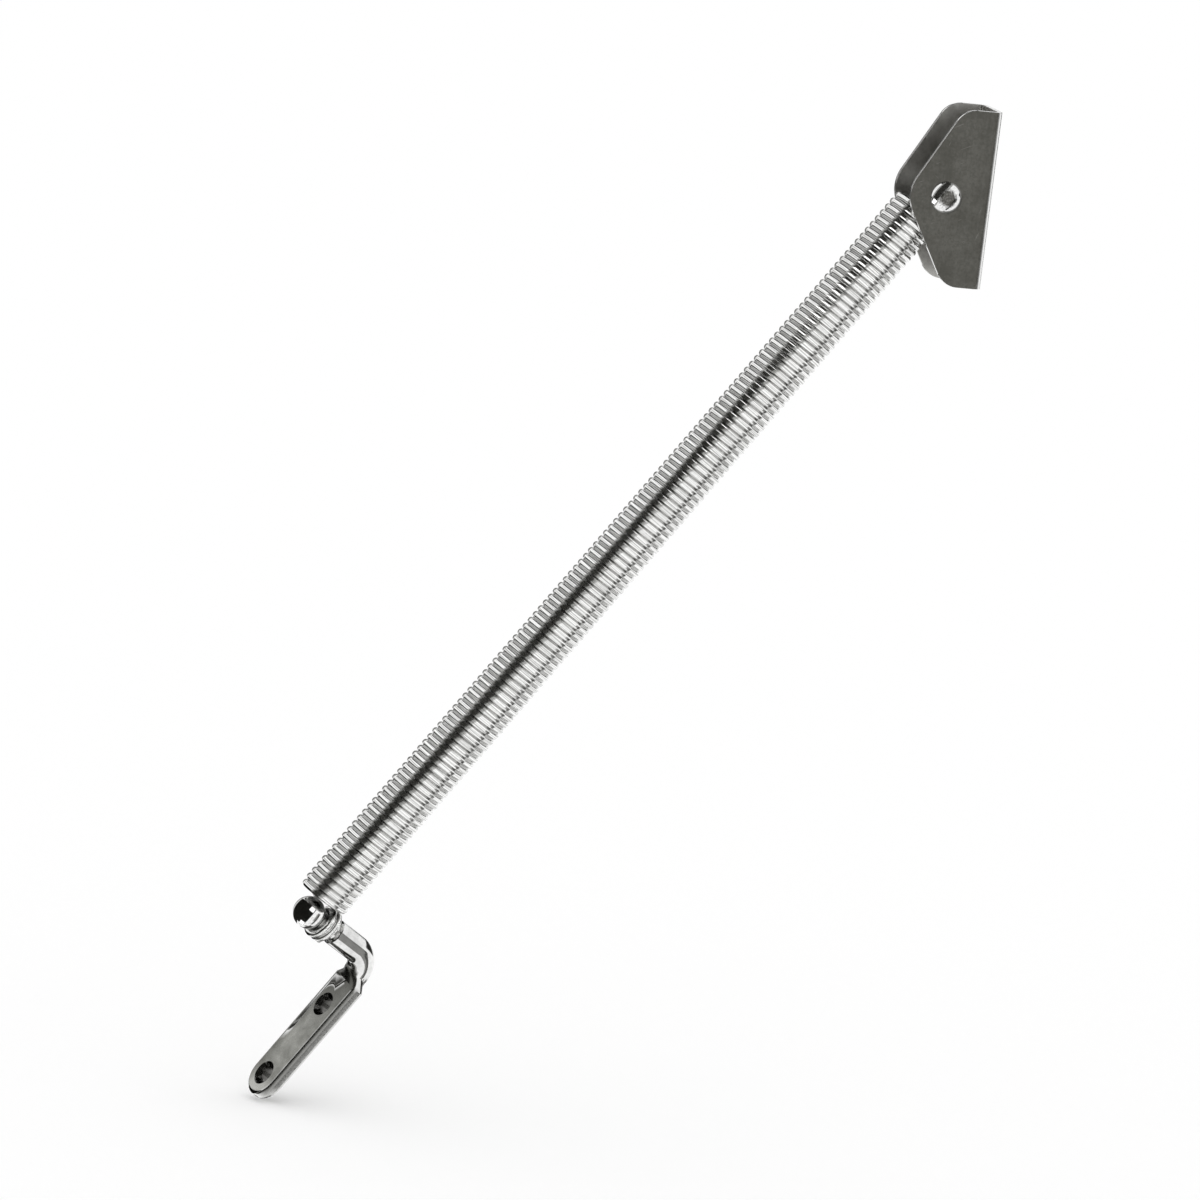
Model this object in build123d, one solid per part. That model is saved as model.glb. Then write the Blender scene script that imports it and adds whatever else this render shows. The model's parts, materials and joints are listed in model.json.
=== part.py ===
from build123d import *
import math
import os

# Hatch spring: a close-wound wire spring that holds a small hatch open.
# Its upper eye hangs on a rivet in a folded bracket, and its lower eye turns on the pin of a bent foot.
# Millimetres. The origin is midway between the bracket's two screw holes, on its mounting face.
# +X points out of that face, +Z is up along the bracket, and +Y runs from the domed rivet head to its tail.

# Bracket, folded from sheet
SHEET = 1.2
CHEEK_TO_COIL = 0.25
BRACKET_LENGTH = 40.8
BEND_OUTER_RADIUS = 2.0
CHEEK_END_DEPTH = 6.0
CHEEK_CORNER_RADIUS = 5.5
CHEEK_NOSE_RADIUS = 8.4
RIVET_FROM_BASE = 11.1
BRACKET_SCREW_SPACING = 27.0
BRACKET_SCREW_HOLE_RADIUS = 2.3

# Rivet, solid, set across both cheeks
RIVET_RADIUS = 2.4
RIVET_HOLE_CLEARANCE = 0.05
RIVET_HEAD_RADIUS = 3.75
RIVET_HEAD_HEIGHT = 2.0
RIVET_TAIL_RADIUS = 3.3
RIVET_TAIL_HEIGHT = 1.4
RIVET_TAIL_CROWN = 0.4

# Spring, one wire of round section drawn with four sides of the same area
WIRE_DIAMETER = 1.8
WIRE_SIDES = 4
COIL_OUTER_DIAMETER = 12.7
COIL_TURN_GAP = 0.7
EYE_TO_EYE = 219.0
UPPER_EYE_REACH = 5.8
UPPER_EYE_OFFSET = 1.0
LOWER_EYE_REACH = 6.8
EYE_TURNS = 1.0
EYE_LOOP_GAP = 0.444
RIVET_RUNNING_CLEARANCE = 0.2
PIN_RUNNING_CLEARANCE = 0.15

# How the spring hangs: its slant from the vertical, and how far the lower pin is turned towards -Y
SPRING_SLANT = 35.0
LOWER_PIN_TURN = 17.0

# Foot, a round rod with a turned pin at one end and a pressed pad at the other
PIN_RADIUS = 2.45
ROD_RADIUS = 3.175
ROD_EDGE_CHAMFER = 0.4
ROD_BEND_RADIUS = 4.7
PIN_TO_LEG = 20.4
PAD_WIDTH = 11.0
PAD_THICKNESS = 3.4
PAD_SET_BACK = 0.4
PAD_EDGE_RADIUS = 1.2
PAD_SHOULDER = 2.5
PAD_FIRST_HOLE = 14.8
PAD_SCREW_SPACING = 21.0
PAD_SCREW_HOLE_RADIUS = 1.9
COUNTERSINK_RADIUS = 3.0

# Ball pressed on a spigot at the pin's end, which keeps the eye on the pin
BALL_RADIUS = 3.8
BALL_CENTRE_OFFSET = 0.3
SPIGOT_RADIUS = 1.5
SPIGOT_LENGTH = 4.0
SPIGOT_CLEARANCE = 0.01
SIDE_PLAY = 0.2

# Sizes worked out from those above
wire_half_diagonal = WIRE_DIAMETER / 2 * math.sqrt(math.pi / 2)
coil_radius = COIL_OUTER_DIAMETER / 2 - wire_half_diagonal
upper_eye_radius = RIVET_RADIUS + RIVET_RUNNING_CLEARANCE + wire_half_diagonal
lower_eye_radius = PIN_RADIUS + PIN_RUNNING_CLEARANCE + wire_half_diagonal
eye_pitch = 2 * wire_half_diagonal + EYE_LOOP_GAP
eye_span = EYE_TURNS * eye_pitch
coil_height = EYE_TO_EYE - UPPER_EYE_REACH - LOWER_EYE_REACH
coil_whole_turns = int(coil_height / (2 * wire_half_diagonal + COIL_TURN_GAP))
coil_turns = coil_whole_turns + (90 - LOWER_PIN_TURN) / 360
coil_pitch = coil_height / coil_turns
coil_lead = math.atan2(coil_pitch, 2 * math.pi * coil_radius)
bracket_width = COIL_OUTER_DIAMETER + 2 * (CHEEK_TO_COIL + SHEET)
half_width = bracket_width / 2
pad_middle = PIN_TO_LEG + PAD_SET_BACK
ball_back = math.sqrt(BALL_RADIUS**2 - PIN_RADIUS**2) - BALL_CENTRE_OFFSET
lower_eye_start = ball_back + SIDE_PLAY + wire_half_diagonal
pin_shoulder = lower_eye_start + eye_span + wire_half_diagonal + SIDE_PLAY

# Directions of the hanging spring
slant = math.radians(SPRING_SLANT)
up_spring = Vector(math.sin(slant), 0, math.cos(slant))
across_spring = Vector(-math.cos(slant), 0, math.sin(slant))
side_spring = up_spring.cross(across_spring)
rivet_centre = Vector(-RIVET_FROM_BASE, 0, 0)
coil_top = rivet_centre + across_spring * UPPER_EYE_OFFSET - up_spring * UPPER_EYE_REACH
coil_bottom = coil_top - up_spring * coil_height
pin_centre = coil_bottom - up_spring * LOWER_EYE_REACH


def around_spring(degrees):
    """The direction square to the spring's axis at this angle round it."""
    angle = math.radians(degrees)
    return across_spring * math.cos(angle) + side_spring * math.sin(angle)


pin_outward = around_spring(LOWER_PIN_TURN)
foot_frame = Plane(
    origin=pin_centre, x_dir=pin_outward * -1, z_dir=(pin_outward * -1).cross(up_spring * -1)
)
lower_eye_frame = Plane(origin=coil_bottom, x_dir=pin_outward, z_dir=up_spring * -1)
upper_eye_frame = Plane(origin=coil_top, x_dir=side_spring, z_dir=up_spring)


def biarc(start, start_direction, end, end_direction):
    """Two arcs that leave start and reach end along the given unit directions."""
    chord = end - start
    both = start_direction + end_direction
    a = both.dot(both) - 4
    b = -2 * chord.dot(both)
    c = chord.dot(chord)
    reach = (-b - math.sqrt(b * b - 4 * a * c)) / (2 * a)
    first_corner = start + start_direction * reach
    last_corner = end - end_direction * reach
    middle = (first_corner + last_corner) * 0.5
    middle_direction = (last_corner - first_corner).normalized()
    first = Edge.make_tangent_arc(start, start_direction, middle)
    return [first, Edge.make_tangent_arc(middle, middle_direction, end)]


def winding(point, direction, total_angle):
    """Biarcs of about half a turn each along a helix given by its point and direction at an angle."""
    steps = max(1, round(total_angle / math.pi))
    edges = []
    for step in range(steps):
        start = total_angle * step / steps
        end = total_angle * (step + 1) / steps
        edges += biarc(point(start), direction(start), point(end), direction(end))
    return edges


def wire_tube(edges, outward):
    """The wire along a path, with one edge of its section towards outward at the start."""
    path = Wire(edges)
    start = Plane(origin=path @ 0, x_dir=outward, z_dir=path % 0)
    section = start * RegularPolygon(wire_half_diagonal, WIRE_SIDES)
    return sweep(section, path, clean=False)


def coil_point(angle):
    turned = LOWER_PIN_TURN + math.degrees(angle)
    rise = coil_pitch * angle / (2 * math.pi)
    return coil_bottom + around_spring(turned) * coil_radius + up_spring * rise


def coil_direction(angle):
    turned = LOWER_PIN_TURN + 90 + math.degrees(angle)
    return around_spring(turned) * math.cos(coil_lead) + up_spring * math.sin(coil_lead)


def coil_edges():
    """The coil, with a straight run of one wire diameter at each end that meets its eye squarely."""
    total = 2 * math.pi * coil_turns
    first = coil_point(0)
    last = coil_point(total)
    lead_in = Edge.make_line(first - coil_direction(0) * WIRE_DIAMETER, first)
    lead_out = Edge.make_line(last, last + coil_direction(total) * WIRE_DIAMETER)
    return [lead_in] + winding(coil_point, coil_direction, total) + [lead_out]


def eye_edges(frame, radius, reach, sideways, first_offset):
    """The wire from the coil's end on to the pin and round it, in the eye's own frame.

    The frame's X is the side of the coil that the wire leaves from and the pin's axis, and Z is away from the coil.
    The pin is at this reach along Z and this far sideways along Y, and the loops start at first_offset along X.
    """
    rate = eye_pitch / (2 * math.pi)

    def place(x, y, z):
        return frame.from_local_coords(Vector(x, y, z))

    def turn(x, y, z):
        return place(x, y, z) - place(0, 0, 0)

    def point(angle):
        y = sideways + radius * math.cos(angle)
        z = reach + radius * math.sin(angle)
        return place(first_offset - rate * angle, y, z)

    def direction(angle):
        y = -radius * math.sin(angle)
        z = radius * math.cos(angle)
        return turn(-rate, y, z).normalized()

    leaving = turn(0, math.cos(coil_lead), math.sin(coil_lead))
    start = place(coil_radius, 0, 0) + leaving * WIRE_DIAMETER
    total = 2 * math.pi * EYE_TURNS
    last = point(total)
    tail = Edge.make_line(last, last + direction(total) * WIRE_DIAMETER)
    return biarc(start, leaving, point(0), direction(0)) + winding(point, direction, total) + [tail]


def cheek_outline():
    """The bracket from the side: a straight base, two rounded corners and a rounded nose at the rivet."""
    half = BRACKET_LENGTH / 2
    corner_height = half - CHEEK_CORNER_RADIUS
    base = Pos(-CHEEK_END_DEPTH / 2, 0) * Rectangle(CHEEK_END_DEPTH, BRACKET_LENGTH)
    corners = [
        Pos(-CHEEK_END_DEPTH, end * corner_height) * Circle(CHEEK_CORNER_RADIUS) for end in (-1, 1)
    ]
    nose = Pos(-RIVET_FROM_BASE, 0) * Circle(CHEEK_NOSE_RADIUS)
    # The corner circles are trimmed to the side away from the base
    keep = Pos(-CHEEK_END_DEPTH - BRACKET_LENGTH / 2, 0) * Rectangle(BRACKET_LENGTH, BRACKET_LENGTH)
    rounded = [corner & keep for corner in corners]
    edges = base.edges() + nose.edges()
    for corner in rounded:
        edges += corner.edges()
    return make_hull(edges)


def bracket():
    """Folded channel, pierced for the rivet in both cheeks and for two screws in the base."""
    depth = RIVET_FROM_BASE + CHEEK_NOSE_RADIUS
    outer = Pos(-depth / 2, 0) * Rectangle(depth, bracket_width)
    outer = fillet(outer.vertices().group_by(Axis.X)[-1], BEND_OUTER_RADIUS)
    inner = Pos(-depth / 2 - SHEET, 0) * Rectangle(depth, bracket_width - 2 * SHEET)
    inner = fillet(inner.vertices().group_by(Axis.X)[-1], BEND_OUTER_RADIUS - SHEET)
    channel = extrude(outer - inner, amount=BRACKET_LENGTH / 2, both=True)
    side = Plane.XZ * cheek_outline()
    channel &= extrude(side, amount=bracket_width, both=True)
    rivet_hole = Cylinder(RIVET_RADIUS + RIVET_HOLE_CLEARANCE, bracket_width * 2)
    channel -= Pos(rivet_centre) * Rot(90, 0, 0) * rivet_hole
    for end in (-1, 1):
        screw_hole = Cylinder(BRACKET_SCREW_HOLE_RADIUS, SHEET * 4)
        channel -= Pos(0, 0, end * BRACKET_SCREW_SPACING / 2) * Rot(0, 90, 0) * screw_hole
    return channel


def bracket_rivet():
    """Domed head on the near cheek, shank, and a low set tail on the far cheek."""
    near = -half_width
    far = half_width
    with BuildSketch() as profile:
        with BuildLine():
            Line((0, near - RIVET_HEAD_HEIGHT), (0, far + RIVET_TAIL_HEIGHT))
            tail_edge = (RIVET_TAIL_RADIUS, far + RIVET_TAIL_HEIGHT - RIVET_TAIL_CROWN)
            part_way = 0.6
            crown_height = far + RIVET_TAIL_HEIGHT - RIVET_TAIL_CROWN * part_way**2
            crown = (RIVET_TAIL_RADIUS * part_way, crown_height)
            ThreePointArc((0, far + RIVET_TAIL_HEIGHT), crown, tail_edge)
            Line(tail_edge, (RIVET_TAIL_RADIUS, far))
            Line((RIVET_TAIL_RADIUS, far), (RIVET_RADIUS, far))
            Line((RIVET_RADIUS, far), (RIVET_RADIUS, near))
            Line((RIVET_RADIUS, near), (RIVET_HEAD_RADIUS, near))
            dome = (RIVET_HEAD_RADIUS**2 + RIVET_HEAD_HEIGHT**2) / (2 * RIVET_HEAD_HEIGHT)
            side = dome * math.sin(math.asin(RIVET_HEAD_RADIUS / dome) / 2)
            height = math.sqrt(dome**2 - side**2) - (dome - RIVET_HEAD_HEIGHT)
            ThreePointArc((RIVET_HEAD_RADIUS, near), (side, near - height), (0, near - RIVET_HEAD_HEIGHT))
        make_face()
    return Pos(rivet_centre) * revolve(profile.sketch, Axis.Y)


def rod_section():
    return Plane.YZ * Circle(ROD_RADIUS)


def foot_rod():
    """Turned pin, shoulder, round rod, right-angle bend and pressed pad with two countersunk holes."""
    bend_start = PIN_TO_LEG - ROD_BEND_RADIUS
    pin = Pos(ball_back, 0, 0) * extrude(Plane.YZ * Circle(PIN_RADIUS), pin_shoulder - ball_back)
    spigot = Pos(ball_back - SPIGOT_LENGTH, 0, 0) * extrude(
        Plane.YZ * Circle(SPIGOT_RADIUS), SPIGOT_LENGTH
    )
    rod = Pos(pin_shoulder, 0, 0) * extrude(rod_section(), bend_start - pin_shoulder)
    rod = chamfer(rod.edges().group_by(Axis.X)[0], ROD_EDGE_CHAMFER)
    bend_axis = Axis((bend_start, ROD_BEND_RADIUS, 0), (0, 0, 1))
    bend = revolve(Pos(bend_start, 0, 0) * rod_section(), bend_axis, 90)
    pad_start = ROD_BEND_RADIUS + PAD_SHOULDER
    last_hole = PAD_FIRST_HOLE + PAD_SCREW_SPACING
    round_end = Plane.XZ.offset(-ROD_BEND_RADIUS) * Pos(PIN_TO_LEG, 0) * Circle(ROD_RADIUS)
    flat_end = Plane.XZ.offset(-pad_start) * Pos(pad_middle, 0) * RectangleRounded(
        PAD_THICKNESS, PAD_WIDTH, PAD_EDGE_RADIUS
    )
    shoulder = loft([round_end, flat_end])
    straight = last_hole - pad_start
    plan = Pos(pad_start + straight / 2, 0) * Rectangle(straight, PAD_WIDTH)
    plan += Pos(last_hole, 0) * Circle(PAD_WIDTH / 2)
    on_face = Plane(origin=(pad_middle - PAD_THICKNESS / 2, 0, 0), x_dir=(0, 1, 0), z_dir=(1, 0, 0))
    pad = extrude(on_face * plan, PAD_THICKNESS)
    rims = pad.edges().filter_by(lambda edge: edge.center().Y > pad_start + 0.01)
    rims = rims.filter_by(lambda edge: abs(edge.length - PAD_THICKNESS) > 0.01)
    pad = fillet(rims, PAD_EDGE_RADIUS)
    foot = pin + spigot + rod + bend + shoulder + pad
    sink = COUNTERSINK_RADIUS - PAD_SCREW_HOLE_RADIUS
    for along in (PAD_FIRST_HOLE, last_hole):
        hole = Cylinder(PAD_SCREW_HOLE_RADIUS, PAD_THICKNESS * 3)
        mouth = Cone(COUNTERSINK_RADIUS, PAD_SCREW_HOLE_RADIUS, sink)
        foot -= Pos(pad_middle, along, 0) * Rot(0, 90, 0) * hole
        at_face = pad_middle - PAD_THICKNESS / 2 + sink / 2
        foot -= Pos(at_face, along, 0) * Rot(0, 90, 0) * mouth
    return foot_frame.location * foot


def retaining_ball():
    """Polished ball with a flat back and a blind hole for the spigot."""
    ball = Pos(-BALL_CENTRE_OFFSET, 0, 0) * Sphere(BALL_RADIUS)
    behind = Pos(ball_back + BALL_RADIUS, 0, 0) * Box(2 * BALL_RADIUS, 4 * BALL_RADIUS, 4 * BALL_RADIUS)
    bore_length = SPIGOT_LENGTH + SPIGOT_CLEARANCE
    bore = Pos(ball_back - bore_length, 0, 0) * extrude(
        Plane.YZ * Circle(SPIGOT_RADIUS + SPIGOT_CLEARANCE), bore_length
    )
    return foot_frame.location * (ball - behind - bore)


def path_points(edges):
    """Points about a quarter of a wire diameter apart along a path."""
    points = []
    for edge in edges:
        count = max(2, math.ceil(edge.length / WIRE_DIAMETER * 4))
        points += [tuple(edge @ (step / count)) for step in range(count)]
    return points


def least_gap(points):
    """The least gap between two stretches of the wire that lie at least half an eye's turn apart along it."""
    runs = [0.0]
    for point, following in zip(points, points[1:]):
        runs.append(runs[-1] + math.dist(point, following))
    nearby = 4 * 2 * math.pi * coil_radius
    least = math.inf
    for i, point in enumerate(points):
        for j in range(i + 1, len(points)):
            along = runs[j] - runs[i]
            if along > nearby:
                break
            if along > math.pi * upper_eye_radius:
                least = min(least, math.dist(point, points[j]))
    return least - 2 * wire_half_diagonal


coil_path = coil_edges()
upper_eye_path = eye_edges(
    upper_eye_frame, upper_eye_radius, UPPER_EYE_REACH, UPPER_EYE_OFFSET, eye_span / 2
)
lower_eye_path = eye_edges(lower_eye_frame, lower_eye_radius, LOWER_EYE_REACH, 0, -lower_eye_start)

parts = {
    "bracket": bracket(),
    "bracket_rivet": bracket_rivet(),
    "spring_upper_eye": wire_tube(upper_eye_path, up_spring),
    "spring_coil": wire_tube(coil_path, up_spring),
    "spring_lower_eye": wire_tube(lower_eye_path, up_spring),
    "foot_rod": foot_rod(),
    "retaining_ball": retaining_ball(),
}

wire_paths = {"upper eye": upper_eye_path, "coil": coil_path, "lower eye": lower_eye_path}
wire_points = {name: path_points(edges) for name, edges in wire_paths.items()}
for name, edges in wire_paths.items():
    bends = [edge.radius for edge in edges if edge.geom_type == GeomType.CIRCLE]
    print(f"{name}: least gap {least_gap(wire_points[name]):.2f} mm, tightest bend {min(bends):.2f} mm")
whole_wire = wire_points["lower eye"][::-1] + wire_points["coil"] + wire_points["upper eye"]
print(f"whole wire: least gap {least_gap(whole_wire):.2f} mm")

os.makedirs("parts", exist_ok=True)
for name, part in parts.items():
    part.label = name
    export_step(part, f"parts/{name}.step")
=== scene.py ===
import json
import math

import bmesh
import bpy
from mathutils import Matrix, Vector


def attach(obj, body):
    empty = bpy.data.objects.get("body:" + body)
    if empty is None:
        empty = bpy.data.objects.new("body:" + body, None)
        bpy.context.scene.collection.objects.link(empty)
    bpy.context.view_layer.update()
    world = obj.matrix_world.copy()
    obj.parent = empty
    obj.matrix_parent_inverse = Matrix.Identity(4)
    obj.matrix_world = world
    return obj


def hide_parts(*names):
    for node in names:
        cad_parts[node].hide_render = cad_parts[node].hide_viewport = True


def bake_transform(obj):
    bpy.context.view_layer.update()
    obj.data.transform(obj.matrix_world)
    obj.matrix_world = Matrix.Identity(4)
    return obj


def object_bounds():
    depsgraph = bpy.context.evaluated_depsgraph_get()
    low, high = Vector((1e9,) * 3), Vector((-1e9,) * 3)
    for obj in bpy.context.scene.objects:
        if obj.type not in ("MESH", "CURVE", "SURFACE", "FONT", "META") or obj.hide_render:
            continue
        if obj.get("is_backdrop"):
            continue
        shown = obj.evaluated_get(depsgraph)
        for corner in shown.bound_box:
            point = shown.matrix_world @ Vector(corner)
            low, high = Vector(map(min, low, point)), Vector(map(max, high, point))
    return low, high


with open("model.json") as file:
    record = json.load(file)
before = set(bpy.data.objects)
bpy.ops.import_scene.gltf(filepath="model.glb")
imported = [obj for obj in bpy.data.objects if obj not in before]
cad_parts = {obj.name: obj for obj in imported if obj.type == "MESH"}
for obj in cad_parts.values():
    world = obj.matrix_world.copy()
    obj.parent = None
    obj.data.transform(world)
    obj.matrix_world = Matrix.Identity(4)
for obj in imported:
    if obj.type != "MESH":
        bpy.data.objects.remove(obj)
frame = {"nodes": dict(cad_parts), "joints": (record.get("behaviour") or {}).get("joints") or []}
cad_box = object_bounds()

MM = 0.001

# Spring wire, close wound
WIRE_RADIUS = 0.875 * MM
WIRE_SIDES = 12
STEPS_PER_TURN = 36
LATHE_STEPS = 72
COIL_OUTER_RADIUS = 6.35 * MM
COIL_RADIUS = COIL_OUTER_RADIUS - WIRE_RADIUS
COIL_TURNS = 118
UPPER_EYE_REACH = 5.8 * MM
UPPER_EYE_OFFSET = 1.0 * MM
LOWER_EYE_REACH = 4.9 * MM
EYE_RADIUS = 3.5 * MM
EYE_TURNS = 2.25
EYE_PITCH = 1.77 * MM
EYE_FROM_PIN_POINT = 2.86 * MM
GROOVE_RADIUS = 5.9 * MM
WIRE_END_ROUNDING = 0.2 * MM

# Ball, with a flat back and a bore for the pin's spigot
BALL_RADIUS = 3.8 * MM
BALL_CENTRE_OFFSET = 0.3 * MM
BORE_RADIUS = 1.51 * MM
BORE_LENGTH = 4.01 * MM
PIN_RADIUS = 2.45 * MM

# Rivet across the bracket's cheeks
BRACKET_WIDTH = 15.6 * MM
SHEET = 1.2 * MM
INNER_HALF_WIDTH = BRACKET_WIDTH / 2 - SHEET
RIVET_RADIUS = 2.4 * MM
RIVET_HEAD_RADIUS = 3.75 * MM
RIVET_HEAD_HEIGHT = 2.0 * MM
RIVET_TAIL_RADIUS = 3.3 * MM
RIVET_TAIL_HEIGHT = 1.4 * MM
RIVET_TAIL_CROWN = 0.4 * MM

# Screw holes in the foot's pad, by their distance from the pin
PAD_FIRST_HOLE = 14.8 * MM
PAD_SECOND_HOLE = 35.8 * MM
MOUTH_RADIUS = 3.0 * MM
PAD_FRONT = 19.1 * MM
PAD_BACK = 22.5 * MM

# Eased edges, as tumbling leaves them
SHEET_EDGE = 0.14 * MM
FOOT_EDGE = 0.12 * MM
RIVET_EDGE = 0.12 * MM

joints = {joint["name"]: joint for joint in frame["joints"]}
rivet_centre = Vector(joints["bracket_pivot"]["pos_m"])
coil_middle = Vector(joints["spring_bend"]["pos_m"])
pin_centre = Vector(joints["foot_swivel"]["pos_m"])
pin_outward = Vector(joints["foot_swivel"]["axis"]).normalized()

up_spring = (coil_middle - pin_centre).normalized()
side_spring = Vector((0, -1, 0))
across_spring = side_spring.cross(up_spring)
lower_pin_turn = math.atan2(pin_outward.dot(side_spring), pin_outward.dot(across_spring))
ball_back = math.sqrt(BALL_RADIUS**2 - PIN_RADIUS**2) - BALL_CENTRE_OFFSET
coil_bottom = pin_centre + up_spring * LOWER_EYE_REACH
coil_height = (rivet_centre - coil_bottom).dot(up_spring) - UPPER_EYE_REACH
coil_top = coil_bottom + up_spring * coil_height
coil_part_turn = (math.pi / 2 - lower_pin_turn) / (2 * math.pi)
coil_pitch = coil_height / (COIL_TURNS + coil_part_turn)


# Meshes


def finished(name, bm, body, *nodes, sharp=35.0):
    """The mesh as a smooth piece that rides on a body and stands for CAD nodes."""
    mesh = bpy.data.meshes.new(name)
    bm.to_mesh(mesh)
    bm.free()
    mesh.shade_smooth()
    mesh.set_sharp_from_angle(angle=math.radians(sharp))
    piece = bpy.data.objects.new(name, mesh)
    bpy.context.collection.objects.link(piece)
    if body:
        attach(piece, body)
    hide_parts(*nodes)
    return piece


def wire_ring(bm, centre, outward, heading):
    """The wire's section: a ring round centre, square to heading."""
    turn = Matrix((outward, heading.cross(outward), heading)).transposed().to_4x4()
    made = bmesh.ops.create_circle(
        bm, segments=WIRE_SIDES, radius=WIRE_RADIUS, matrix=Matrix.Translation(centre) @ turn
    )
    ring = made["verts"]
    return ring + list({edge for vert in ring for edge in vert.link_edges})


def bent(bm, ring, centre, axis, angle, advance=0.0):
    """Bends the wire on from its end ring, about an axis and along it, and returns the new end ring."""
    steps = max(3, math.ceil(STEPS_PER_TURN * angle / (2 * math.pi)))
    made = bmesh.ops.spin(
        bm, geom=ring, cent=centre, axis=axis, dvec=axis * (advance / steps), angle=angle, steps=steps
    )
    return made["geom_last"]


def tangent_arc(bm, ring, start, heading, end):
    """Bends the wire on along the arc that leaves start along heading and reaches end."""
    chord = end - start
    normal = heading.cross(chord).normalized()
    half = heading.angle(chord)
    radius = chord.length / (2 * math.sin(half))
    centre = start + normal.cross(heading) * radius
    ring = bent(bm, ring, centre, normal, 2 * half)
    return ring, Matrix.Rotation(2 * half, 3, normal) @ heading


def biarc_joint(start, heading, end, end_heading):
    """The point where two arcs from start to end meet, with the given headings at the ends."""
    chord = end - start
    both = heading + end_heading
    a = both.dot(both) - 4
    b = -2 * chord.dot(both)
    reach = (-b - math.sqrt(b * b - 4 * a * chord.dot(chord))) / (2 * a)
    return (start + heading * reach + end - end_heading * reach) / 2


def eye(first_outward, away, reach, sideways, first_offset, lift):
    """The wire from one end of the coil to its eye, wound round the pin's axis, as a mesh.

    first_outward is the side of the coil that the wire leaves from and the pin's axis.
    away points from the coil's end, and lift is the coil's end plane's centre.
    """
    bm = bmesh.new()
    heading = away.cross(first_outward)
    start = lift + first_outward * COIL_RADIUS
    ring = wire_ring(bm, start, first_outward, heading)
    eye_centre = lift + away * reach + heading * sideways
    loop_start = eye_centre + heading * EYE_RADIUS + first_outward * first_offset
    joint = biarc_joint(start, heading, loop_start, away)
    ring, turned = tangent_arc(bm, ring, start, heading, joint)
    ring, turned = tangent_arc(bm, ring, joint, turned, loop_start)
    axis = heading.cross(away)
    angle = EYE_TURNS * 2 * math.pi
    ring = bent(bm, ring, eye_centre, axis, angle, -EYE_TURNS * EYE_PITCH)
    rim = [item for item in ring if isinstance(item, bmesh.types.BMEdge)]
    cap = bmesh.ops.edgeloop_fill(bm, edges=rim)["faces"]
    bmesh.ops.bevel(
        bm, geom=rim, offset=WIRE_END_ROUNDING, offset_type="OFFSET", segments=2, profile=0.5,
        affect="EDGES", material=-1,
    )
    mesh = bpy.data.meshes.new("eye")
    bm.to_mesh(mesh)
    bm.free()
    return mesh


def around_spring(angle):
    return across_spring * math.cos(angle) + side_spring * math.sin(angle)


def spring_wire():
    """One wire from eye to eye: a turn of the coil copied up the axis, with an eye joined to each end."""
    one_turn = bmesh.new()
    start_side = around_spring(lower_pin_turn)
    heading = up_spring.cross(start_side)
    ring = wire_ring(one_turn, coil_bottom + start_side * COIL_RADIUS, start_side, heading)
    bent(one_turn, ring, coil_bottom, up_spring, 2 * math.pi, coil_pitch)
    turn_mesh = bpy.data.meshes.new("turn")
    one_turn.to_mesh(turn_mesh)
    one_turn.free()
    wire = bmesh.new()
    for turn in range(COIL_TURNS):
        wire.from_mesh(turn_mesh)
        turn_mesh.transform(Matrix.Translation(up_spring * coil_pitch))
    last = bmesh.new()
    part = coil_bottom + up_spring * coil_pitch * COIL_TURNS
    ring = wire_ring(last, part + start_side * COIL_RADIUS, start_side, heading)
    bent(last, ring, part, up_spring, coil_part_turn * 2 * math.pi, coil_pitch * coil_part_turn)
    last.to_mesh(turn_mesh)
    last.free()
    wire.from_mesh(turn_mesh)
    eye_span = EYE_TURNS * EYE_PITCH
    wire.from_mesh(
        eye(pin_outward, -up_spring, LOWER_EYE_REACH, 0, -EYE_FROM_PIN_POINT, coil_bottom)
    )
    wire.from_mesh(
        eye(side_spring, up_spring, UPPER_EYE_REACH, UPPER_EYE_OFFSET, eye_span / 2, coil_top)
    )
    bmesh.ops.remove_doubles(wire, verts=wire.verts, dist=WIRE_RADIUS / 20)
    bmesh.ops.recalc_face_normals(wire, faces=wire.faces)
    return wire


def eased(node, width):
    """A CAD node's mesh, merged, with its flat faces whole and its sharp edges eased."""
    bm = bmesh.new()
    bm.from_mesh(frame["nodes"][node].data)
    bmesh.ops.remove_doubles(bm, verts=bm.verts, dist=0.002 * MM)
    bmesh.ops.dissolve_limit(
        bm, angle_limit=math.radians(1), verts=bm.verts, edges=bm.edges, delimit=set()
    )
    sharp = [edge for edge in bm.edges if edge.is_manifold and edge.calc_face_angle() > math.radians(32)]
    bmesh.ops.bevel(
        bm, geom=sharp, offset=width, offset_type="OFFSET", segments=2, profile=0.5,
        affect="EDGES", clamp_overlap=True, material=-1,
    )
    return bm


def profile_to(bm, last, point):
    """Draws a lathe profile on from its last vertex in a straight line, and returns the new last vertex."""
    made = bmesh.ops.extrude_vert_indiv(bm, verts=[last])["verts"][0]
    bmesh.ops.translate(bm, verts=[made], vec=Vector(point) - made.co)
    return made


def profile_round(bm, last, centre, angle, steps):
    """Draws a lathe profile on along an arc about centre, in the XZ plane."""
    made = bmesh.ops.spin(
        bm, geom=[last], cent=centre, axis=(0, 1, 0), dvec=(0, 0, 0), angle=angle, steps=steps
    )
    return made["geom_last"][0]


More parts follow.
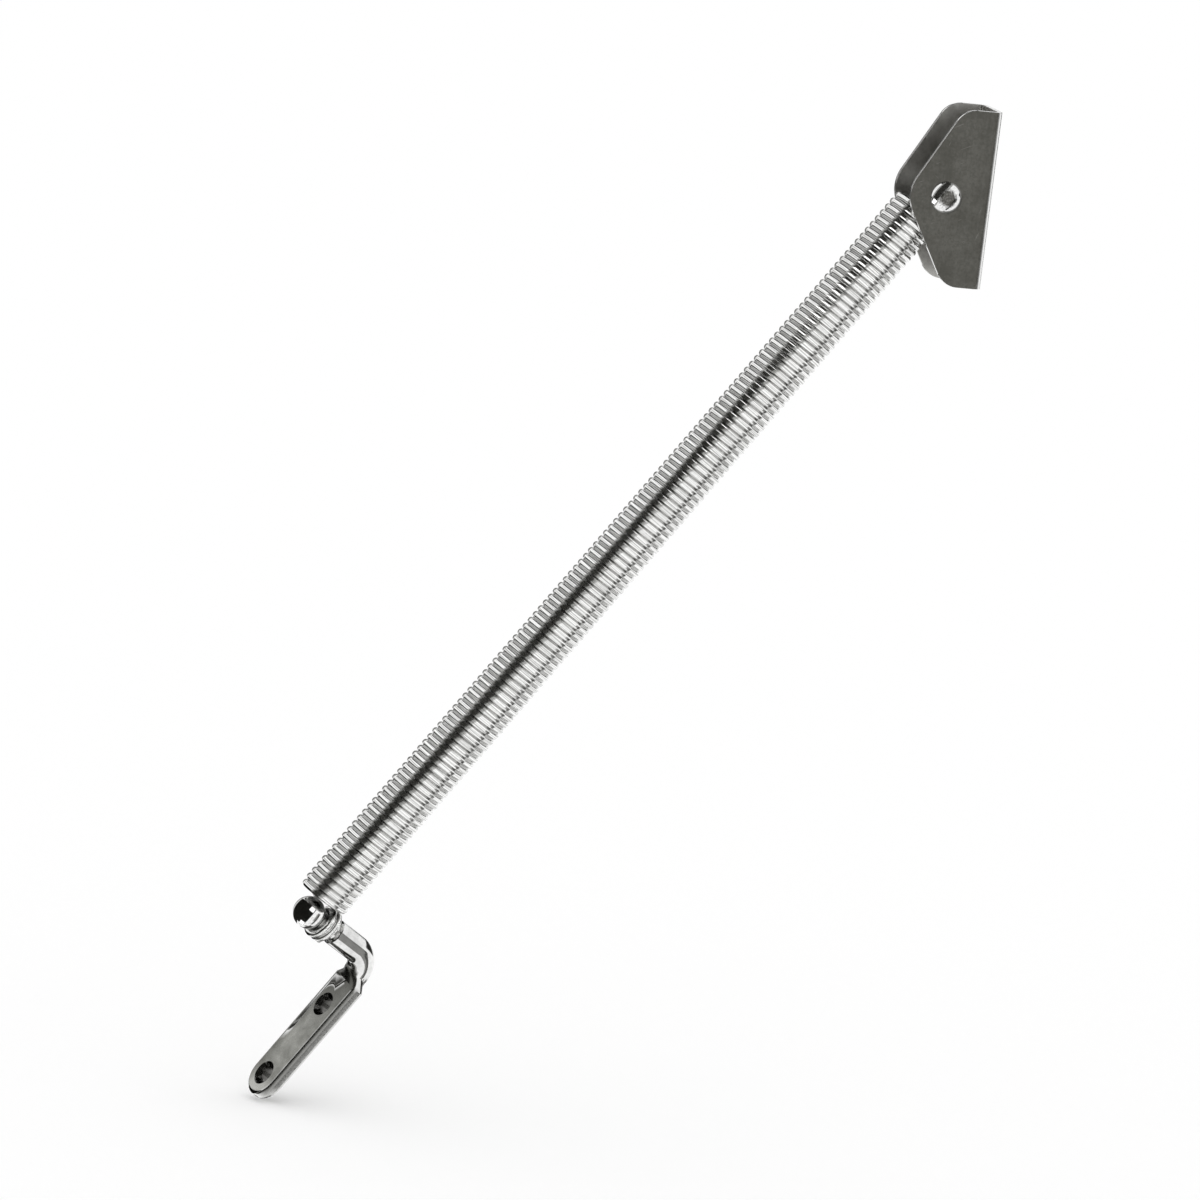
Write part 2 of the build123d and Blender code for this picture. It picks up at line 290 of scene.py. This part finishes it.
def lathed(bm, along, centre, edge_width=0.0):
    """Turns a profile, drawn with its axis along Z, full round, and puts that axis along a direction."""
    bmesh.ops.spin(
        bm, geom=bm.verts[:] + bm.edges[:], cent=(0, 0, 0), axis=(0, 0, 1), dvec=(0, 0, 0),
        angle=2 * math.pi, steps=LATHE_STEPS, use_merge=True,
    )
    bmesh.ops.remove_doubles(bm, verts=bm.verts, dist=0.001 * MM)
    bmesh.ops.dissolve_degenerate(bm, edges=bm.edges, dist=0.0005 * MM)
    bmesh.ops.recalc_face_normals(bm, faces=bm.faces)
    if edge_width:
        rims = [edge for edge in bm.edges if edge.is_manifold and edge.calc_face_angle() > math.radians(40)]
        bmesh.ops.bevel(
            bm, geom=rims, offset=edge_width, offset_type="OFFSET", segments=2, profile=0.5,
            affect="EDGES", material=-1,
        )
    turn = Vector((0, 0, 1)).rotation_difference(along).to_matrix().to_4x4()
    bmesh.ops.transform(bm, matrix=Matrix.Translation(centre) @ turn, verts=bm.verts)
    return bm


def rivet_form():
    """Domed head, shank and low crowned tail. Z runs from the head to the tail."""
    near = -BRACKET_WIDTH / 2
    far = BRACKET_WIDTH / 2
    dome = (RIVET_HEAD_RADIUS**2 + RIVET_HEAD_HEIGHT**2) / (2 * RIVET_HEAD_HEIGHT)
    crown = (RIVET_TAIL_RADIUS**2 + RIVET_TAIL_CROWN**2) / (2 * RIVET_TAIL_CROWN)
    bm = bmesh.new()
    last = bmesh.ops.create_vert(bm, co=(0, 0, near - RIVET_HEAD_HEIGHT))["vert"][0]
    head_centre = (0, 0, near - RIVET_HEAD_HEIGHT + dome)
    last = profile_round(bm, last, head_centre, -math.asin(RIVET_HEAD_RADIUS / dome), 14)
    last = profile_to(bm, last, (RIVET_RADIUS, 0, near))
    last = profile_to(bm, last, (RIVET_RADIUS, 0, far))
    last = profile_to(bm, last, (RIVET_TAIL_RADIUS, 0, far))
    last = profile_to(bm, last, (RIVET_TAIL_RADIUS, 0, far + RIVET_TAIL_HEIGHT - RIVET_TAIL_CROWN))
    tail_centre = (0, 0, far + RIVET_TAIL_HEIGHT - crown)
    profile_round(bm, last, tail_centre, -math.asin(RIVET_TAIL_RADIUS / crown), 6)
    return lathed(bm, Vector((0, 1, 0)), rivet_centre, RIVET_EDGE)


def ball_form():
    """Ball with a flat back and a blind bore. Z runs from its back to its front."""
    centre = Vector((0, 0, BALL_CENTRE_OFFSET))
    bm = bmesh.new()
    last = bmesh.ops.create_vert(bm, co=(0, 0, BALL_CENTRE_OFFSET + BALL_RADIUS))["vert"][0]
    last = profile_round(bm, last, centre, math.pi - math.asin(PIN_RADIUS / BALL_RADIUS), 36)
    last = profile_to(bm, last, (BORE_RADIUS, 0, -ball_back))
    last = profile_to(bm, last, (BORE_RADIUS, 0, -ball_back + BORE_LENGTH))
    profile_to(bm, last, (0, 0, -ball_back + BORE_LENGTH))
    return lathed(bm, pin_outward, pin_centre)


# Materials


def linear(code):
    """An sRGB hex colour as linear RGBA."""
    parts = [int(code[i : i + 2], 16) / 255 for i in (0, 2, 4)]
    return [v / 12.92 if v <= 0.04045 else ((v + 0.055) / 1.055) ** 2.4 for v in parts] + [1.0]


def add(tree, kind, inputs, output=0, **settings):
    """Adds a shader node with its settings, sets or links its inputs, and returns one of its outputs."""
    made = tree.nodes.new("ShaderNode" + kind)
    for name, value in settings.items():
        setattr(made, name, value)
    for key, value in inputs.items():
        if isinstance(value, bpy.types.NodeSocket):
            tree.links.new(value, made.inputs[key])
        else:
            made.inputs[key].default_value = value
    return made.outputs[output]


def surface(name):
    """A new metal material: its tree and its shader's inputs."""
    material = bpy.data.materials.new(name)
    material.use_nodes = True
    tree = material.node_tree
    shader = tree.nodes["Principled BSDF"].inputs
    shader["Metallic"].default_value = 1.0
    return material, tree, shader


def facing(tree, direction):
    """How squarely the surface faces a direction, both ways, from its normal in the piece's own frame."""
    normal = add(tree, "TexCoord", {}, "Normal")
    dot = add(tree, "VectorMath", {0: normal, 1: direction}, "Value", operation="DOT_PRODUCT")
    return add(tree, "Math", {0: dot}, operation="ABSOLUTE")


def measured(tree, centre, x, y, z):
    """The piece's own coordinates in millimetres from centre, along three square directions, and as a vector."""
    place = add(tree, "TexCoord", {}, "Object")
    moved = add(tree, "VectorMath", {0: place, 1: centre}, operation="SUBTRACT")
    parts = []
    for direction in (x, y, z):
        along = add(tree, "VectorMath", {0: moved, 1: direction / MM}, "Value", operation="DOT_PRODUCT")
        parts.append(along)
    return parts + [add(tree, "CombineXYZ", {0: parts[0], 1: parts[1], 2: parts[2]})]


def polished_spring_wire():
    """Stainless spring wire, drawn through a die and polished: bright, with fine lines along the wire.

    The draw lines are about 0.02 mm wide on the real wire. They are drawn 0.3 mm wide, to show.
    """
    material, tree, shader = surface("stainless_spring_wire_drawn_and_polished")
    x, y, z, place = measured(tree, coil_bottom, across_spring, side_spring, up_spring)
    from_axis = add(tree, "CombineXYZ", {0: x, 1: y})
    radius = add(tree, "VectorMath", {0: from_axis}, "Value", operation="LENGTH")
    along_wire = add(tree, "CombineXYZ", {0: radius, 2: z})
    lines = add(tree, "TexNoise", {"Vector": along_wire, "Scale": 3.2, "Detail": 2.0})
    line_mix = add(tree, "MapRange", {0: lines, 1: 0.34, 2: 0.58})
    shade = add(tree, "Mix", {0: line_mix, 6: linear("B8B8B6"), 7: linear("FCFCFB")}, 2, data_type="RGBA")
    smears = add(tree, "TexNoise", {"Vector": place, "Scale": 0.12, "Detail": 4.0, "Roughness": 0.6})
    smear_mix = add(tree, "MapRange", {0: smears, 1: 0.5, 2: 0.75, 4: 0.5})
    shade = add(tree, "Mix", {0: smear_mix, 6: shade, 7: linear("D6D6D4")}, 2, data_type="RGBA")
    # Between the turns the colour is greyed: painted shade in the grooves
    groove = add(tree, "MapRange", {0: radius, 1: GROOVE_RADIUS / MM, 2: GROOVE_RADIUS / MM + 0.2, 3: 0.36, 4: 0.0})
    on_coil = add(tree, "MapRange", {0: z, 1: -1.2, 2: -0.6})
    painted_groove_shade = add(tree, "Math", {0: groove, 1: on_coil}, operation="MULTIPLY")
    shade = add(tree, "Mix", {0: painted_groove_shade, 6: shade, 7: linear("A0A09D")}, 2, data_type="RGBA")
    tree.links.new(shade, shader["Base Color"])
    rough = add(tree, "MapRange", {0: smears, 1: 0.35, 2: 0.7, 3: 0.12, 4: 0.2})
    tree.links.new(rough, shader["Roughness"])
    bump = add(tree, "Bump", {"Height": lines, "Strength": 0.15, "Distance": 0.03 * MM})
    tree.links.new(bump, shader["Normal"])
    return material


def scratches(tree, x, z):
    """Thin light scratches, a few millimetres long, in three slants across a cheek."""
    total = 0.0
    for slant, shift in ((25, 0.0), (68, 31.0), (-40, 57.0)):
        cosine = math.cos(math.radians(slant))
        sine = math.sin(math.radians(slant))
        flat_place = add(tree, "CombineXYZ", {0: x, 2: z})
        along = add(tree, "VectorMath", {0: flat_place, 1: (cosine, 0, sine)}, "Value", operation="DOT_PRODUCT")
        across = add(tree, "VectorMath", {0: flat_place, 1: (-sine, 0, cosine)}, "Value", operation="DOT_PRODUCT")
        slender = add(
            tree, "VectorMath",
            {0: add(tree, "CombineXYZ", {0: along, 1: shift, 2: across}), 1: (0.18, 1.0, 2.6)},
            operation="MULTIPLY",
        )
        cells = add(tree, "TexNoise", {"Vector": slender, "Scale": 1.0, "Detail": 1.0})
        thin = add(tree, "MapRange", {0: cells, 1: 0.735, 2: 0.77})
        total = add(tree, "Math", {0: total, 1: thin}, operation="MAXIMUM")
    return total


def rolled_sheet():
    """Stainless sheet, cold rolled, blanked and folded: dull faces with faint rolling lines, grain and scratches,
    painted dark grey as a painted reflection, and edges and bends painted near white as a painted highlight.

    The rolling lines are about 0.05 mm apart on the real sheet. They are drawn 0.35 mm apart, to show.
    """
    material, tree, shader = surface("stainless_sheet_cold_rolled_and_folded")
    origin = Vector((0, 0, 0))
    x, y, z, place = measured(tree, origin, Vector((1, 0, 0)), Vector((0, 1, 0)), Vector((0, 0, 1)))
    rolled = add(tree, "VectorMath", {0: place, 1: (3.0, 3.0, 0.12)}, operation="MULTIPLY")
    lines = add(tree, "TexNoise", {"Vector": rolled, "Scale": 1.0, "Detail": 4.0})
    clouds = add(tree, "TexNoise", {"Vector": place, "Scale": 0.22, "Detail": 6.0, "Roughness": 0.7})
    grain = add(tree, "TexNoise", {"Vector": place, "Scale": 1.5, "Detail": 3.0, "Roughness": 0.7})
    cloud_mix = add(tree, "MapRange", {0: clouds, 1: 0.35, 2: 0.65})
    face = add(tree, "Mix", {0: cloud_mix, 6: linear("55544F"), 7: linear("686762")}, 2, data_type="RGBA")
    line_mix = add(tree, "MapRange", {0: lines, 1: 0.5, 2: 0.8, 4: 0.3})
    face = add(tree, "Mix", {0: line_mix, 6: face, 7: linear("6F6E6A")}, 2, data_type="RGBA")
    grain_mix = add(tree, "MapRange", {0: grain, 1: 0.42, 2: 0.7, 4: 0.5})
    face = add(tree, "Mix", {0: grain_mix, 6: face, 7: linear("4A4A45")}, 2, data_type="RGBA")
    cheek = add(tree, "MapRange", {0: facing(tree, Vector((0, 1, 0))), 1: 0.8, 2: 0.96})
    marks = add(tree, "Math", {0: scratches(tree, x, z), 1: cheek}, operation="MULTIPLY")
    mark_mix = add(tree, "Math", {0: marks, 1: 0.6}, operation="MULTIPLY")
    face = add(tree, "Mix", {0: mark_mix, 6: face, 7: linear("8E8D89")}, 2, data_type="RGBA")
    # The flat cheeks and back are painted dark, a painted reflection; all other faces, the edges and bends, are
    # painted near white, a painted highlight
    back_face = add(tree, "MapRange", {0: facing(tree, Vector((1, 0, 0))), 1: 0.97, 2: 0.995})
    flat = add(tree, "Math", {0: cheek, 1: back_face}, operation="MAXIMUM")
    shade = add(tree, "Mix", {0: flat, 6: linear("ECECEB"), 7: face}, 2, data_type="RGBA")
    # Inside the channel the sheet is painted lighter: a painted reflection of light surroundings
    painted_light_inside = add(tree, "Mix", {0: cloud_mix, 6: linear("B0AFAB"), 7: linear("CFCECA")}, 2, data_type="RGBA")
    from_middle = add(tree, "Math", {0: y}, operation="ABSOLUTE")
    edge = INNER_HALF_WIDTH / MM
    within = add(tree, "MapRange", {0: from_middle, 1: edge + 0.02, 2: edge + 0.1, 3: 1.0, 4: 0.0})
    before_base = add(tree, "MapRange", {0: x, 1: -SHEET / MM + 0.02, 2: -SHEET / MM + 0.1, 3: 1.0, 4: 0.0})
    inner = add(tree, "Math", {0: within, 1: before_base}, operation="MULTIPLY")
    shade = add(tree, "Mix", {0: inner, 6: shade, 7: painted_light_inside}, 2, data_type="RGBA")
    tree.links.new(shade, shader["Base Color"])
    dull = add(tree, "MapRange", {0: clouds, 1: 0.3, 2: 0.7, 3: 0.3, 4: 0.42})
    rough = add(tree, "Mix", {0: flat, 2: 0.16, 3: dull}, data_type="FLOAT")
    tree.links.new(rough, shader["Roughness"])
    bump = add(tree, "Bump", {"Height": clouds, "Strength": 0.1, "Distance": 0.05 * MM})
    tree.links.new(bump, shader["Normal"])
    return material


def headed_rivet():
    """Stainless, cold headed and polished: a bright shoulder, and a duller grey crown round the axis, whose grey is
    a painted dark reflection."""
    material, tree, shader = surface("stainless_rivet_headed_and_polished")
    x, y, z, place = measured(tree, rivet_centre, Vector((1, 0, 0)), Vector((0, 1, 0)), Vector((0, 0, 1)))
    from_axis = add(tree, "VectorMath", {0: add(tree, "CombineXYZ", {0: x, 1: z})}, "Value", operation="LENGTH")
    specks = add(tree, "TexNoise", {"Vector": place, "Scale": 2.4, "Detail": 4.0})
    unsteady = add(tree, "Math", {0: specks, 1: 1.2, 2: -0.6}, operation="MULTIPLY_ADD")
    reach = add(tree, "Math", {0: from_axis, 1: unsteady}, operation="ADD")
    # Round the axis the head is painted dark grey: a painted dark reflection
    crown = add(tree, "MapRange", {0: reach, 1: 1.5, 2: 2.3, 3: 1.0, 4: 0.0})
    speck_mix = add(tree, "MapRange", {0: specks, 1: 0.35, 2: 0.65})
    dull = add(tree, "Mix", {0: speck_mix, 6: linear("4E4D49"), 7: linear("7A7975")}, 2, data_type="RGBA")
    bright = add(tree, "Mix", {0: speck_mix, 6: linear("E0E0DF"), 7: linear("F8F8F7")}, 2, data_type="RGBA")
    shade = add(tree, "Mix", {0: crown, 6: bright, 7: dull}, 2, data_type="RGBA")
    tree.links.new(shade, shader["Base Color"])
    rough = add(tree, "MapRange", {0: crown, 3: 0.08, 4: 0.24})
    tree.links.new(rough, shader["Roughness"])
    bump = add(tree, "Bump", {"Height": specks, "Strength": 0.1, "Distance": 0.08 * MM})
    tree.links.new(bump, shader["Normal"])
    return material


def turned_ball():
    """Stainless, turned and polished: a mirror with slight unevenness."""
    material, tree, shader = surface("stainless_ball_turned_and_polished")
    x, y, z, place = measured(tree, pin_centre, across_spring, side_spring, up_spring)
    waves = add(tree, "TexNoise", {"Vector": place, "Scale": 0.5, "Detail": 3.0})
    specks = add(tree, "TexNoise", {"Vector": place, "Scale": 3.0, "Detail": 4.0})
    speck_mix = add(tree, "MapRange", {0: specks, 1: 0.35, 2: 0.6})
    shade = add(tree, "Mix", {0: speck_mix, 6: linear("DEDEDD"), 7: linear("F8F8F7")}, 2, data_type="RGBA")
    tree.links.new(shade, shader["Base Color"])
    rough = add(tree, "MapRange", {0: specks, 1: 0.3, 2: 0.7, 3: 0.05, 4: 0.12})
    tree.links.new(rough, shader["Roughness"])
    bump = add(tree, "Bump", {"Height": waves, "Strength": 0.1, "Distance": 0.1 * MM})
    tree.links.new(bump, shader["Normal"])
    return material


def tumbled_foot():
    """Stainless rod, turned, bent, pressed flat and tumbled: a bright rod, and a dull mottled pad where the
    press has flattened it."""
    material, tree, shader = surface("stainless_rod_pressed_and_tumbled")
    down = -up_spring
    out = -pin_outward
    thick = out.cross(down)
    x, y, z, place = measured(tree, pin_centre, out, down, thick)
    squarely = facing(tree, pin_outward)
    on_pad = add(tree, "MapRange", {0: y, 1: 6.5, 2: 8.0})
    # The shoulder slants, so near the bend a slanted face counts as pressed too
    square_from = add(tree, "MapRange", {0: on_pad, 3: 0.35, 4: 0.84})
    square_to = add(tree, "Math", {0: square_from, 1: 0.12}, operation="ADD")
    pressed = add(tree, "MapRange", {0: squarely, 1: square_from, 2: square_to})
    below = add(tree, "MapRange", {0: y, 1: 3.6, 2: 4.4})
    flat = add(tree, "Math", {0: pressed, 1: below}, operation="MULTIPLY")
    mottle = add(tree, "TexNoise", {"Vector": place, "Scale": 0.28, "Detail": 5.0, "Roughness": 0.6})
    grain = add(tree, "TexNoise", {"Vector": place, "Scale": 2.0, "Detail": 3.0})
    mottle_mix = add(tree, "MapRange", {0: mottle, 1: 0.34, 2: 0.64})
    face = add(tree, "Mix", {0: mottle_mix, 6: linear("787873"), 7: linear("9E9E99")}, 2, data_type="RGBA")
    grain_mix = add(tree, "MapRange", {0: grain, 1: 0.42, 2: 0.7, 4: 0.5})
    face = add(tree, "Mix", {0: grain_mix, 6: face, 7: linear("8C8C87")}, 2, data_type="RGBA")
    # The pad is painted darker towards the bend, a painted shade, and lighter towards the tip, a painted highlight
    painted_shade_to_bend = add(tree, "MapRange", {0: y, 1: 5.0, 2: 24.0, 3: 0.95, 4: 0.0})
    face = add(tree, "Mix", {0: painted_shade_to_bend, 6: face, 7: linear("50504C")}, 2, data_type="RGBA")
    painted_highlight_to_tip = add(tree, "MapRange", {0: y, 1: 35.0, 2: 40.0, 4: 0.8})
    face = add(tree, "Mix", {0: painted_highlight_to_tip, 6: face, 7: linear("C2C2BD")}, 2, data_type="RGBA")
    # The pad is painted darker towards its far edge: painted shade
    painted_shade_to_far_edge = add(tree, "MapRange", {0: z, 1: 1.6, 2: 5.2, 4: 0.75})
    face = add(tree, "Mix", {0: painted_shade_to_far_edge, 6: face, 7: linear("54544F")}, 2, data_type="RGBA")
    # The press squeezed the pad's sides out; they are painted dark at the front, a painted shade, and light towards
    # the back, a painted reflection
    side = add(tree, "MapRange", {0: facing(tree, thick), 1: 0.5, 2: 0.8, 4: 1.0})
    side = add(tree, "Math", {0: side, 1: on_pad}, operation="MULTIPLY")
    painted_side_gradient = add(tree, "MapRange", {0: x, 1: PAD_FRONT / MM + 0.2, 2: PAD_BACK / MM - 1.0})
    edge = add(tree, "Mix", {0: painted_side_gradient, 6: linear("5C5C58"), 7: linear("D6D6D4")}, 2, data_type="RGBA")
    rod = add(tree, "Mix", {0: mottle_mix, 6: linear("D6D6D5"), 7: linear("F2F2F1")}, 2, data_type="RGBA")
    shade = add(tree, "Mix", {0: side, 6: rod, 7: edge}, 2, data_type="RGBA")
    shade = add(tree, "Mix", {0: flat, 6: shade, 7: face}, 2, data_type="RGBA")
    # Inside each screw hole's mouth the colour is darkened: painted shade in the hole
    for hole in (PAD_FIRST_HOLE, PAD_SECOND_HOLE):
        from_hole = add(tree, "VectorMath", {0: place, 1: (0, hole / MM, 0)}, operation="SUBTRACT")
        across = add(tree, "VectorMath", {0: from_hole, 1: (0, 1, 1)}, operation="MULTIPLY")
        reach = add(tree, "VectorMath", {0: across}, "Value", operation="LENGTH")
        rim = MOUTH_RADIUS / MM
        painted_hole_shade = add(tree, "MapRange", {0: reach, 1: rim - 0.05, 2: rim + 0.1, 3: 0.9, 4: 0.0})
        shade = add(tree, "Mix", {0: painted_hole_shade, 6: shade, 7: linear("5C5B58")}, 2, data_type="RGBA")
    tree.links.new(shade, shader["Base Color"])
    dull = add(tree, "MapRange", {0: grain, 1: 0.3, 2: 0.7, 3: 0.24, 4: 0.36})
    bright = add(tree, "MapRange", {0: mottle, 1: 0.3, 2: 0.7, 3: 0.07, 4: 0.13})
    worked = add(tree, "Math", {0: flat, 1: side}, operation="MAXIMUM")
    rough = add(tree, "Mix", {0: worked, 2: bright, 3: dull}, data_type="FLOAT")
    tree.links.new(rough, shader["Roughness"])
    bump = add(tree, "Bump", {"Height": mottle, "Strength": 0.1, "Distance": 0.08 * MM})
    tree.links.new(bump, shader["Normal"])
    return material


# Pieces

wire = finished("spring_wire", spring_wire(), None, "spring_upper_eye", "spring_coil", "spring_lower_eye")
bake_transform(wire)
wire.data.materials.append(polished_spring_wire())

bracket = finished("folded_bracket", eased("bracket", SHEET_EDGE), "bracket_body", "bracket")
bracket.data.materials.append(rolled_sheet())

rivet = finished("rivet", rivet_form(), "bracket_body", "bracket_rivet")
rivet.data.materials.append(headed_rivet())

foot = finished("bent_foot", eased("foot_rod", FOOT_EDGE), "foot_body", "foot_rod")
foot.data.materials.append(tumbled_foot())

ball = finished("ball", ball_form(), "foot_body", "retaining_ball")
ball.data.materials.append(turned_ball())

# The bracket's faces are all flat or evenly bent, so there the larger face alone sets the normal
for piece, weight in ((bracket, 100), (foot, 50)):
    weighted = piece.modifiers.new("flat faces stay flat", "WEIGHTED_NORMAL")
    weighted.keep_sharp = True
    weighted.weight = weight

# Stage


def staged(name, bm, colour, glow=0.0):
    """A plain object of the studio, not of the part."""
    mesh = bpy.data.meshes.new(name)
    bm.to_mesh(mesh)
    bm.free()
    made = bpy.data.objects.new(name, mesh)
    bpy.context.collection.objects.link(made)
    material = bpy.data.materials.new(name)
    material.use_nodes = True
    shader = material.node_tree.nodes["Principled BSDF"]
    shader.inputs["Base Color"].default_value = linear(colour)
    shader.inputs["Roughness"].default_value = 1.0
    shader.inputs["Emission Color"].default_value = linear(colour)
    shader.inputs["Emission Strength"].default_value = glow
    shader.inputs["Specular IOR Level"].default_value = 0.0
    mesh.materials.append(material)
    made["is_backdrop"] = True
    return made


floor_bm = bmesh.new()
bmesh.ops.create_grid(floor_bm, x_segments=1, y_segments=1, size=20)
bmesh.ops.translate(floor_bm, verts=floor_bm.verts, vec=(0, 0, cad_box[0].z - 0.5 * MM))
floor = staged("floor", floor_bm, "FFFFFF")
floor.visible_glossy = False

# Camera, at the photograph's angle
IMAGE_SIDE = 1200
SENSOR = 36.0
CAMERA_DISTANCE = 1500 * MM
FOCAL_PIXELS = 6543.0
CAMERA_AZIMUTH = math.radians(-12.77)
CAMERA_ELEVATION = math.radians(10.21)
CAMERA_ROLL = math.radians(6.81)
ORIGIN_RIGHT = 88.15 * MM
ORIGIN_UP = 92.34 * MM

back = Vector(
    (
        math.sin(CAMERA_AZIMUTH) * math.cos(CAMERA_ELEVATION),
        -math.cos(CAMERA_AZIMUTH) * math.cos(CAMERA_ELEVATION),
        math.sin(CAMERA_ELEVATION),
    )
)
level_right = Vector((0, 0, 1)).cross(back).normalized()
right = Matrix.Rotation(CAMERA_ROLL, 3, back) @ level_right
up = back.cross(right)
lens = bpy.data.cameras.new("camera")
lens.sensor_width = SENSOR
lens.lens = FOCAL_PIXELS / IMAGE_SIDE * SENSOR
lens.clip_end = 100
camera = bpy.data.objects.new("camera", lens)
bpy.context.collection.objects.link(camera)
place = back * CAMERA_DISTANCE - right * ORIGIN_RIGHT - up * ORIGIN_UP
camera.matrix_world = Matrix.Translation(place) @ Matrix((right, up, back)).transposed().to_4x4()
bpy.context.scene.camera = camera
bpy.context.scene.view_settings.view_transform = "Standard"

# Cards round the part, which show only in its reflections, as a photographer's black cards and screens do
spring_middle = (rivet_centre + pin_centre) / 2
to_camera = (back - up_spring * back.dot(up_spring)).normalized()
to_right = up_spring.cross(to_camera)


def card(name, turns, tilts, colour, centre=spring_middle, distance=4000 * MM, glow=0.0):
    """A card that shows in polished metal where its surface faces between these angles, in degrees.

    The turn is measured round the spring from the camera's side, to the right in the view. The tilt is
    measured from there up the spring.
    """
    card_bm = bmesh.new()
    bmesh.ops.create_grid(card_bm, x_segments=24, y_segments=24, size=0.5)
    for vert in card_bm.verts:
        turn = math.radians(turns[0] + (vert.co.x + 0.5) * (turns[1] - turns[0]))
        tilt = math.radians(tilts[0] + (vert.co.y + 0.5) * (tilts[1] - tilts[0]))
        level = to_camera * math.cos(turn) + to_right * math.sin(turn)
        normal = level * math.cos(tilt) + up_spring * math.sin(tilt)
        vert.co = centre + (normal * 2 * normal.dot(back) - back) * distance
    made = staged(name, card_bm, colour, glow)
    made.visible_camera = False
    made.visible_diffuse = False
    made.visible_shadow = False
    made.visible_transmission = False


card("long_black_card", (-24, -7), (-52, 52), "32322F")
card("left_half_tone", (-28, -24), (-52, 52), "969694")
card("right_half_tone", (-7, 0), (-52, 52), "A8A8A6")
card("right_grey_strip", (35, 41), (-27, 20), "565654")
card("rod_middle_strip", (29, 35), (-12, 20), "8E8E8C")
card("left_edge_strip", (-90, -71), (-46, 46), "7C7C7A")
for side, tilts in (("upper", (24, 80)), ("lower", (-80, -24))):
    card(side + "_left_black_card", (-66, -22), tilts, "141412")
for side, tilts in (("upper", (32, 80)), ("lower", (-80, -32))):
    card(side + "_right_black_card", (38, 66), tilts, "2A2A28")
card("rod_lower_strip", (24, 38), (-85, -71), "4A4A48")
card("black_card_at_ball", (-44, 8), (-34, 18), "2E2E2C", pin_centre, 5.5 * MM)
for side, turns, tilts in (("upper", (-5, 5), (7, 16)), ("lower", (-5, 6), (-31, -21))):
    card(side + "_softbox_at_ball", turns, tilts, "FFFFFF", pin_centre, 4.8 * MM, glow=1.0)
card("softbox_at_rivet", (-16, -4), (-36, -22), "FFFFFF", rivet_centre, 50 * MM, glow=1.0)

# World
world = bpy.data.worlds.new("studio")
bpy.context.scene.world = world
world.use_nodes = True
world.node_tree.nodes["Background"].inputs["Color"].default_value = (1, 1, 1, 1)
world.node_tree.nodes["Background"].inputs["Strength"].default_value = 1.0

for name, box in (("cad_box", cad_box), ("visual_box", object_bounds())):
    print(name, [[round(value, 4) for value in corner] for corner in box])
